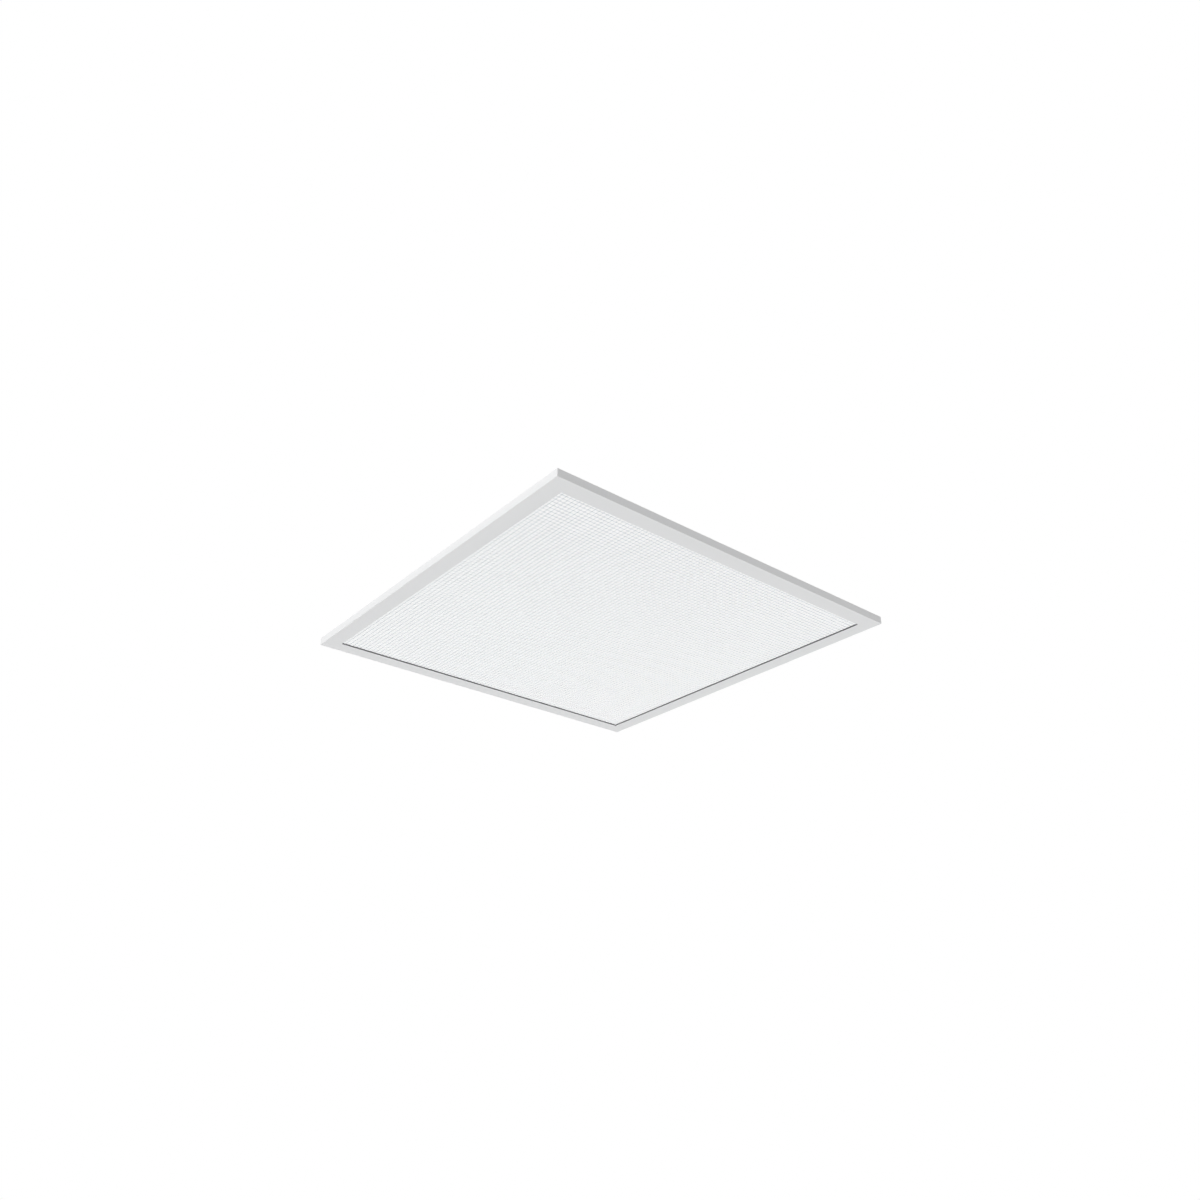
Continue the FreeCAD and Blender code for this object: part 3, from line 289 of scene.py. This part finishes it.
def board_lacquer():
    """Green circuit board with paler copper tracks under the lacquer."""
    material, tree, shader = nodes_of("board_lacquer")
    tracks = add(tree, "ShaderNodeTexBrick", Scale=1.0)
    tracks.inputs["Color1"].default_value = (0.03, 0.14, 0.06, 1)
    tracks.inputs["Color2"].default_value = (0.04, 0.18, 0.08, 1)
    tracks.inputs["Mortar"].default_value = (0.09, 0.28, 0.12, 1)
    tracks.inputs["Mortar Size"].default_value = 0.02
    tree.links.new(place_in(tree, (120, 120, 120)), tracks.inputs["Vector"])
    tree.links.new(tracks.outputs["Color"], shader.inputs["Base Color"])
    shader.inputs["Roughness"].default_value = 0.35
    bump(tree, shader, tracks.outputs["Fac"], 0.00003)
    return material


def phosphor():
    """Yellow phosphor of an LED package inside its white frame."""
    return coating("phosphor", (0.86, 0.76, 0.34), 0.35, 1500.0, 0.00001, 0.10, cloud=400.0)


# --- Mesh helpers ---

def new_piece(name, points, faces, material, body, smooth):
    """A new mesh piece that rides on a body. Edges are smoothed up to the angle smooth, in degrees."""
    mesh = bpy.data.meshes.new(name)
    mesh.from_pydata([tuple(point) for point in points], [], [tuple(face) for face in faces])
    mesh.validate()
    mesh.materials.append(material)
    piece = bpy.data.objects.new(name, mesh)
    bpy.context.scene.collection.objects.link(piece)
    mesh.polygons.foreach_set("use_smooth", [True] * len(mesh.polygons))
    mesh.set_sharp_from_angle(angle=math.radians(smooth))
    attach(piece, body)
    return piece


def turned(profile, sides):
    """Points and faces of a profile, (radius, height) from the bottom up, turned round Z."""
    points, faces = [], []
    for radius, height in profile:
        for step in range(sides):
            angle = 2 * math.pi * step / sides
            reach = radius(angle) if callable(radius) else radius
            points.append(Vector((reach * math.cos(angle), reach * math.sin(angle), height)))
    for ring in range(len(profile) - 1):
        for step in range(sides):
            low, high = ring * sides + step, ring * sides + (step + 1) % sides
            faces.append((low, high, high + sides, low + sides))
    return points, faces


def close_ends(points, faces, sides):
    """Close the first and the last ring of a turned shape."""
    last = len(points) - sides
    return faces + [tuple(range(sides))[::-1], tuple(range(last, last + sides))]


def copies(shape, places):
    """One mesh of several copies of a shape, each at its own matrix."""
    points, faces = [], []
    for matrix in places:
        start = len(points)
        points += [matrix @ point for point in shape[0]]
        faces += [tuple(start + corner for corner in face) for face in shape[1]]
    return points, faces


def at(x, y, z, turn=0.0):
    """A place on the panel, turned about Z."""
    return Matrix.Translation((x, y, z)) @ Matrix.Rotation(turn, 4, "Z")


def island_tops(node):
    """The middle of each separate solid of a node seen from above, at the height of its top."""
    mesh = NODES[node].data
    parent = list(range(len(mesh.vertices)))
    weld = {}
    for vertex in mesh.vertices:
        key = tuple(round(value * 1e6) for value in vertex.co)
        parent[vertex.index] = weld.setdefault(key, vertex.index)

    def root(index):
        while parent[index] != index:
            parent[index] = parent[parent[index]]
            index = parent[index]
        return index

    for edge in mesh.edges:
        first, second = (root(index) for index in edge.vertices)
        parent[max(first, second)] = min(first, second)
    groups = {}
    for vertex in mesh.vertices:
        groups.setdefault(root(vertex.index), []).append(vertex.co)
    middles = []
    for members in groups.values():
        low = Vector(min(point[axis] for point in members) for axis in range(3))
        high = Vector(max(point[axis] for point in members) for axis in range(3))
        middles.append(((low.x + high.x) / 2, (low.y + high.y) / 2, high.z))
    return sorted(middles)


# --- The lens ---

lens_low, lens_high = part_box("prismatic_lens")
lens_width = lens_high.x - lens_low.x
lens_cells = round(lens_width / PRISM_PITCH)
lens_pitch = lens_width / lens_cells


def prismatic_lens():
    """A sheet whose lower face has a square grid of flat prisms with narrow straight grooves between."""
    count = 3 * lens_cells + 1
    step_in = np.array([0, GROOVE_HALF, lens_pitch - GROOVE_HALF])[np.arange(count) % 3]
    line = lens_low.x + lens_pitch * (np.arange(count) // 3) + step_in
    rise = np.where(np.arange(count) % 3 == 0, GROOVE_DEPTH, 0)
    x, y = np.meshgrid(line, line, indexing="ij")
    z = lens_low.z + np.add.outer(rise, rise)
    under = np.stack([x.ravel(), y.ravel(), z.ravel()], axis=1)
    corner = np.arange((count - 1) * count).reshape(count - 1, count)[:, :-1].ravel()
    quads = np.stack([corner, corner + 1, corner + count + 1, corner + count], axis=1)
    rim = [(sx * lens_high.x, sy * lens_high.y, lens_high.z) for sx, sy in CORNERS.values()]
    start = len(under)
    edges = [np.arange(count) * count, (count - 1) * count + np.arange(count),
             np.arange(count)[::-1] * count + count - 1, np.arange(count)[::-1]]
    sides = [[start + step] + [int(index) for index in edge] + [start + (step + 1) % 4]
             for step, edge in enumerate(edges)]
    mesh = bpy.data.meshes.new("lens_prisms")
    top = [start, start + 1, start + 2, start + 3]
    faces = quads.tolist() + [side[::-1] for side in sides] + [top]
    mesh.from_pydata(np.concatenate([under, np.array(rim)]).tolist(), [], faces)
    mesh.materials.append(lens_acrylic())
    piece = bpy.data.objects.new("lens_prisms", mesh)
    bpy.context.scene.collection.objects.link(piece)
    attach(piece, "panel")
    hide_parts("prismatic_lens")


prismatic_lens()


# --- The foam sheet between the reflector and the back plate ---

def foam_sheet():
    """A thin sheet with softly rounded edges and a round relief for the grommet of the LED leads."""
    low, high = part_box("foam_pad")
    ring_low, ring_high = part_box("lead_grommet")
    middle = (ring_low + ring_high) / 2
    relief = (ring_high.x - ring_low.x) / 2 + FOAM_RELIEF
    thickness = high.z - low.z
    softness = 0.4 * thickness
    steps = 48

    def outer(angle, inset):
        """A square outline with rounded corners, seen from the relief's middle."""
        direction = Vector((math.cos(angle), math.sin(angle)))
        reach = math.inf
        for axis, (first, last) in enumerate(((low.x, high.x), (low.y, high.y))):
            if abs(direction[axis]) > 1e-9:
                edge = last - inset if direction[axis] > 0 else first + inset
                reach = min(reach, (edge - middle[axis]) / direction[axis])
        return middle.x + reach * direction.x, middle.y + reach * direction.y

    corner_angles = [math.atan2(y - middle.y, x - middle.x) for x in (low.x, high.x) for y in (low.y, high.y)]
    angles = sorted([2 * math.pi * (step + 0.5) / steps - math.pi for step in range(steps)] + corner_angles)
    rings = [(0, low.z + softness), (softness, low.z), (None, low.z), (None, high.z),
             (softness, high.z), (0, high.z - softness)]
    points, faces = [], []
    for inset, height in rings:
        for angle in angles:
            if inset is None:
                x, y = middle.x + relief * math.cos(angle), middle.y + relief * math.sin(angle)
            else:
                x, y = outer(angle, inset)
            points.append((x, y, height))
    count = len(angles)
    for ring in range(len(rings)):
        for step in range(count):
            first, second = ring * count + step, ring * count + (step + 1) % count
            above = ((ring + 1) % len(rings)) * count
            faces.append((first, above + step, above + (step + 1) % count, second))
    piece = new_piece("foam_sheet", points, faces, foam_skin(), "panel", 60)
    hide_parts("foam_pad")


foam_sheet()


# --- Fixings: screws with cross recesses, and rivets ---

def cross_reach(half_width, arm):
    """The outline of a cross recess, as a radius for each direction."""
    def reach(angle):
        along, across = sorted((abs(math.cos(angle)), abs(math.sin(angle))), reverse=True)
        return min(arm / along, half_width / across if across > 1e-6 else arm / along)
    return reach


def pan_head(radius, height, shank, depth):
    """A screw with a domed head and a cross recess. Its head lies on the height 0."""
    recess = cross_reach(0.16 * radius, 0.52 * radius)
    profile = [(shank * 0.4, -depth), (shank, -depth + shank * 0.6), (shank, 0), (radius * 0.97, 0),
               (radius, height * 0.18), (radius * 0.97, height * 0.55), (radius * 0.86, height * 0.84),
               (radius * 0.70, height * 0.97), (radius * 0.60, height), (recess, height),
               (recess, height * 0.55), (lambda angle: recess(angle) * 0.7, height * 0.25)]
    sides = 48
    points, faces = turned(profile, sides)
    return points, close_ends(points, faces, sides)


def dome_rivet(radius, height, shank, depth, collar=None):
    """A blind rivet with a domed head and the hollow of its pulled pin. Its head lies on 0."""
    profile = [(shank * 0.8, -depth), (shank, -depth + shank * 0.2)]
    if collar:
        collar_radius, low, high = collar
        profile += [(shank, low), (collar_radius, low), (collar_radius, high), (shank, high)]
    brim, steps, top_angle = 0.15, 6, 1.257
    profile += [(shank, 0), (radius * 0.98, 0), (radius, height * brim)]
    for step in range(1, steps + 1):
        angle = math.radians(12 * step)
        rise = math.sin(angle) / math.sin(top_angle)
        profile.append((radius * math.cos(angle), height * (brim + 0.85 * rise)))
    pin = radius * 0.22
    profile += [(pin * 1.15, height), (pin, height * 0.92), (pin * 0.9, height * 0.45)]
    sides = 32
    points, faces = turned(profile, sides)
    return points, close_ends(points, faces, sides)


def collared_rivet(radius, height, shank, depth):
    """A rivet with a collar that carries the clip that swings on it."""
    return dome_rivet(radius, height, shank, depth, (5.0 * MM, -2.4 * MM, -1.8 * MM))


def fixings(name, node, shape, head, material, seed):
    """Put a shape on each solid of a node. Head is how far the solid's top lies over the shape's 0."""
    random = np.random.default_rng(seed)
    places = [at(x, y, z - head, random.uniform(0, math.pi)) for x, y, z in island_tops(node)]
    points, faces = copies(shape, places)
    piece = new_piece(name, points, faces, material, "panel", 35)
    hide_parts(node)


steel = metal("plated_steel", (0.56, 0.56, 0.57), 0.30)
brass = metal("satin_brass", (0.78, 0.60, 0.28), 0.28)
FIXING_METALS = {"steel_fixings": steel, "brass": brass}

# For each set the node that it replaces, its slot and its form. The numbers, in mm, are the head's radius
# and height, the shank's radius and how deep it goes below the head. A set's number is its seed.
FIXINGS = {
    "plate_screw_set": ("plate_screws", "steel_fixings", pan_head, (2.8, 1.2, 1.45, 6.8)),
    "box_screw_set": ("box_screws", "steel_fixings", pan_head, (2.6, 1.3, 1.4, 1.6)),
    "terminal_screw_set": ("terminal_screws", "steel_fixings", pan_head, (2.6, 1.3, 1.4, 3.3)),
    "driver_screw_set": ("driver_screws", "steel_fixings", pan_head, (2.6, 1.3, 1.4, 1.6)),
    "earth_screw_brass": ("earth_screw", "brass", pan_head, (4.2, 2.4, 2.0, 0.8)),
    "bracket_rivet_set": ("bracket_rivets", "steel_fixings", dome_rivet, (3.8, 1.2, 2.0, 2.0)),
    "clip_rivet_set": ("clip_rivets", "steel_fixings", collared_rivet, (3.8, 1.2, 2.0, 3.2)),
}
for seed, (name, (node, slot, form, sizes)) in enumerate(FIXINGS.items(), 1):
    radius, height, shank, depth = (size * MM for size in sizes)
    fixings(name, node, form(radius, height, shank, depth), height, FIXING_METALS[slot], seed)


# --- Finishes of the CAD nodes ---

# A coating's numbers are its roughness, its grain, the grain's depth and how much the tone varies.
FINISHES = {
    "white_frame": frame_paint_and_shade(),
    "white_plate": coating("plate_paint", (0.76, 0.765, 0.765), 0.40, 700.0, 0.00001, 0.03),
    "diffuser_film": coating("film", (0.84, 0.84, 0.84), 0.55, 1600.0, 0.000005),
    "clear_acrylic": coating("guide", (0.80, 0.84, 0.84), 0.15, 1200.0, 0.000003),
    "white_reflector": coating("reflector", (0.84, 0.84, 0.84), 0.35, 1200.0, 0.000003),
    "strip_aluminium": metal("satin_aluminium", (0.78, 0.78, 0.79), 0.35),
    "led": phosphor(),
    "zinc_steel": zinc("zinc_sheet", (0.50, 0.51, 0.52)),
    "steel_fixings": steel,
    "brass": brass,
    "grey_rubber": coating("rubber", (0.045, 0.045, 0.048), 0.62, 1400.0, 0.00002, 0.15),
    "key_zinc": metal("cast_zinc", (0.55, 0.55, 0.56), 0.45, (300, 300, 300)),
    "terminal_grey": coating("terminal_plastic", (0.36, 0.37, 0.38), 0.45, 1300.0, 0.00001, 0.05),
    "lever_grey": coating("lever_plastic", (0.045, 0.048, 0.052), 0.30, 1300.0, 0.000006, 0.08),
    "lever_green": coating("earth_plastic", (0.02, 0.20, 0.04), 0.30, 1300.0, 0.000006, 0.08),
    "driver_white": coating("driver_plastic", (0.74, 0.74, 0.73), 0.42, 1300.0, 0.00001, 0.03),
    "circuit_board": board_lacquer(),
    "black_plastic": coating("black_plastic", (0.02, 0.02, 0.022), 0.40, 1300.0, 0.00001, 0.15),
    "foam": bpy.data.materials["foam_skin"],
    "prismatic_acrylic": bpy.data.materials["lens_acrylic"],
}

for part in frame["record"]["subparts"]:
    node = NODES[part["node"]]
    node.data.materials.clear()
    node.data.materials.append(FINISHES[part["material_slot"]])

# Small rounded edges on the folded and moulded pieces, in mm. Points closer than the weld are one point,
# and only edges sharper than the angle are rounded.
EDGE_WELD = 1e-6
EDGE_ANGLE = 40
EDGES = {"back_plate": 0.15, "driver_box": 0.2, "box_lid": 0.3, "terminal_block": 0.25, "driver_cover": 0.3,
         "driver_base": 0.15}
EDGES.update({f"hanger_bracket_{corner}": 0.2 for corner in CORNERS})
EDGES.update({f"grid_clip_{corner}": 0.2 for corner in CORNERS})
EDGES.update({f"terminal_lever_{pole}": 0.25 for pole in POLES})
for name, width in EDGES.items():
    weld = NODES[name].modifiers.new("weld", "WELD")
    weld.merge_threshold = EDGE_WELD
    rounding = NODES[name].modifiers.new("rounding", "BEVEL")
    rounding.width = width * MM
    rounding.segments = 2
    rounding.limit_method = "ANGLE"
    rounding.angle_limit = math.radians(EDGE_ANGLE)
    rounding.harden_normals = True


# --- Floor, lights and camera ---

# A level of 1 shows a white surface that faces the lamp as white. Directions point from the panel to the
# lamp, and widths are in degrees. They were fitted to the tones of the frame in the photograph.
SURROUND_LEVEL = 0.35
LEFT_LEVEL = 0.53
LEFT_DIRECTION = (-1.0, 0.0, 0.35)
LEFT_WIDTH = 30
TOP_LEVEL = 0.38
TOP_DIRECTION = (0.1, 0.15, 1.0)
TOP_WIDTH = 110
LOW_LEVEL = 0.72
LOW_DIRECTION = (-0.25, -0.30, -1.0)
LOW_WIDTH = 26
LOW_LAMP_SIZE = 2.4
LOW_LAMP_DISTANCE = 1.9
# From level to energy, for each square metre of the soft box. Fitted to the tone of the rim.
SOFT_BOX_POWER = 2.04
FLOOR_COLOUR = (0.86, 0.86, 0.86)
FLOOR_BOUNCE = (0.30, 0.30, 0.30)
FLOOR_HEIGHT = -2.6
FLOOR_HALF = 25.0
SEEN_RAYS = ("Is Camera Ray", "Is Glossy Ray", "Is Transmission Ray")


def seen_by_camera(tree):
    """1 for what the camera sees directly, in gloss or through glass."""
    path = add(tree, "ShaderNodeLightPath")
    total = path.outputs[SEEN_RAYS[0]]
    for name in SEEN_RAYS[1:]:
        either = add(tree, "ShaderNodeMath", operation="MAXIMUM")
        tree.links.new(total, either.inputs[0])
        tree.links.new(path.outputs[name], either.inputs[1])
        total = either.outputs[0]
    return total


def studio_world():
    """A soft even surround that is seen as plain white."""
    world = bpy.data.worlds.new("studio")
    bpy.context.scene.world = world
    world.use_nodes = True
    tree = world.node_tree
    tree.nodes.clear()
    soft = add(tree, "ShaderNodeBackground", Strength=SURROUND_LEVEL)
    soft.inputs["Color"].default_value = (1, 1, 1, 1)
    white = add(tree, "ShaderNodeBackground", Strength=1.0)
    white.inputs["Color"].default_value = (1, 1, 1, 1)
    mix = add(tree, "ShaderNodeMixShader")
    output = add(tree, "ShaderNodeOutputWorld")
    tree.links.new(seen_by_camera(tree), mix.inputs[0])
    tree.links.new(soft.outputs[0], mix.inputs[1])
    tree.links.new(white.outputs[0], mix.inputs[2])
    tree.links.new(mix.outputs[0], output.inputs["Surface"])


def studio_floor():
    """A plain pale floor, low enough that the views from below stay above it.

    It is seen paler than the light that it throws back on the panel.
    """
    corners = [(-FLOOR_HALF, -FLOOR_HALF), (FLOOR_HALF, -FLOOR_HALF), (FLOOR_HALF, FLOOR_HALF),
               (-FLOOR_HALF, FLOOR_HALF)]
    mesh = bpy.data.meshes.new("floor")
    mesh.from_pydata([(x, y, FLOOR_HEIGHT) for x, y in corners], [], [(0, 1, 2, 3)])
    paint = coating("floor_paint", FLOOR_COLOUR, 0.75, 60.0, 0.0001, 0.01, cloud=1.5)
    shader = paint.node_tree.nodes["Principled BSDF"]
    seen = shader.inputs["Base Color"].links[0].from_socket
    mixed = blend_colours(paint.node_tree, seen_by_camera(paint.node_tree), FLOOR_BOUNCE, seen)
    paint.node_tree.links.new(mixed, shader.inputs["Base Color"])
    mesh.materials.append(paint)
    floor = bpy.data.objects.new("floor", mesh)
    bpy.context.scene.collection.objects.link(floor)


def far_lamp(name, direction, level, width):
    """A soft lamp far away."""
    light = bpy.data.lights.new(name, "SUN")
    light.energy = level * math.pi
    light.angle = math.radians(width)
    source = bpy.data.objects.new(name, light)
    source.rotation_mode = "QUATERNION"
    source.rotation_quaternion = Vector(direction).to_track_quat("Z", "Y")
    bpy.context.scene.collection.objects.link(source)


def soft_box(name, direction, level, width, size, distance):
    """A large round soft box that stands above the floor and lights the whole panel evenly."""
    light = bpy.data.lights.new(name, "AREA")
    light.shape = "DISK"
    light.size = size
    light.spread = math.radians(width)
    light.energy = SOFT_BOX_POWER * level * size ** 2
    source = bpy.data.objects.new(name, light)
    toward = Vector(direction).normalized()
    source.location = toward * distance
    source.rotation_mode = "QUATERNION"
    source.rotation_quaternion = toward.to_track_quat("Z", "Y")
    source.visible_camera = False
    bpy.context.scene.collection.objects.link(source)


studio_world()
studio_floor()
far_lamp("left_lamp", LEFT_DIRECTION, LEFT_LEVEL, LEFT_WIDTH)
far_lamp("top_lamp", TOP_DIRECTION, TOP_LEVEL, TOP_WIDTH)
soft_box("low_lamp", LOW_DIRECTION, LOW_LEVEL, LOW_WIDTH, LOW_LAMP_SIZE, LOW_LAMP_DISTANCE)

# The camera was recovered from the panel's corners in the photograph.
CAMERA_PLACE = Vector((-0.89203, -1.09919, -0.67467))
CAMERA_YAW, CAMERA_PITCH, CAMERA_ROLL = (math.radians(angle) for angle in (50.606, 27.366, 0.274))
FOCAL_LENGTH = 31.522
SENSOR_WIDTH = 36.0
CAMERA_REACH = 60


def photograph_camera():
    """Looks up at the panel from below its front left corner."""
    data = bpy.data.cameras.new("camera")
    data.lens = FOCAL_LENGTH
    data.sensor_width = SENSOR_WIDTH
    data.clip_end = CAMERA_REACH
    camera = bpy.data.objects.new("camera", data)
    level = math.cos(CAMERA_PITCH)
    forward = Vector((math.cos(CAMERA_YAW) * level, math.sin(CAMERA_YAW) * level, math.sin(CAMERA_PITCH)))
    right = Vector((math.sin(CAMERA_YAW), -math.cos(CAMERA_YAW), 0))
    up = right.cross(forward)
    tilted_right = math.cos(CAMERA_ROLL) * right + math.sin(CAMERA_ROLL) * up
    tilted_up = math.cos(CAMERA_ROLL) * up - math.sin(CAMERA_ROLL) * right
    camera.matrix_world = Matrix.Translation(CAMERA_PLACE) @ Matrix(
        (tilted_right, tilted_up, -forward)).transposed().to_4x4()
    bpy.context.scene.collection.objects.link(camera)
    bpy.context.scene.camera = camera


photograph_camera()
bpy.context.scene.view_settings.view_transform = "Standard"

bpy.context.view_layer.update()
